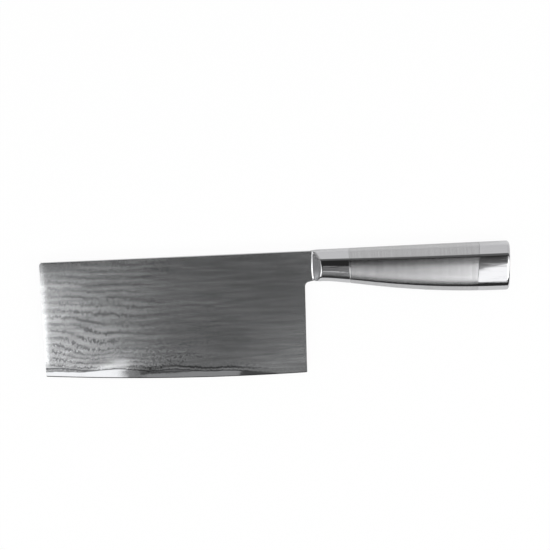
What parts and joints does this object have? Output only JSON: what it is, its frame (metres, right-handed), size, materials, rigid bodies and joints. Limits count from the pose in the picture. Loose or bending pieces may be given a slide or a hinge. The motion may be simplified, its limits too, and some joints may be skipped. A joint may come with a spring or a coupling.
{
  "type": "vegetable cleaver",
  "caption": "Rectangular vegetable cleaver with a layered steel blade, a bare core edge, a faceted polished bolster and butt, and a hollow brushed steel grip.",
  "frame": {"origin": "under the middle of the knife, on the surface that it lies on, at the centre of its outline", "axes": "+X from the tip to the butt along the spine, +Y from the cutting edge to the spine, +Z out of the left face of the blade"},
  "size_m": [0.302, 0.0816, 0.0214],
  "materials": {
    "core_steel": "finely polished hard steel",
    "layered_steel": "etched layered steel with a wavy pattern, satin",
    "polished_steel": "mirror polish",
    "brushed_steel": "satin, brushed across the handle"
  },
  "bodies": {
    "root": {"blade_core": "core_steel", "left_cladding": "layered_steel", "right_cladding": "layered_steel", "bolster": "polished_steel", "left_grip_shell": "brushed_steel", "right_grip_shell": "brushed_steel", "butt_cap": "polished_steel"}
  },
  "joints": []
}
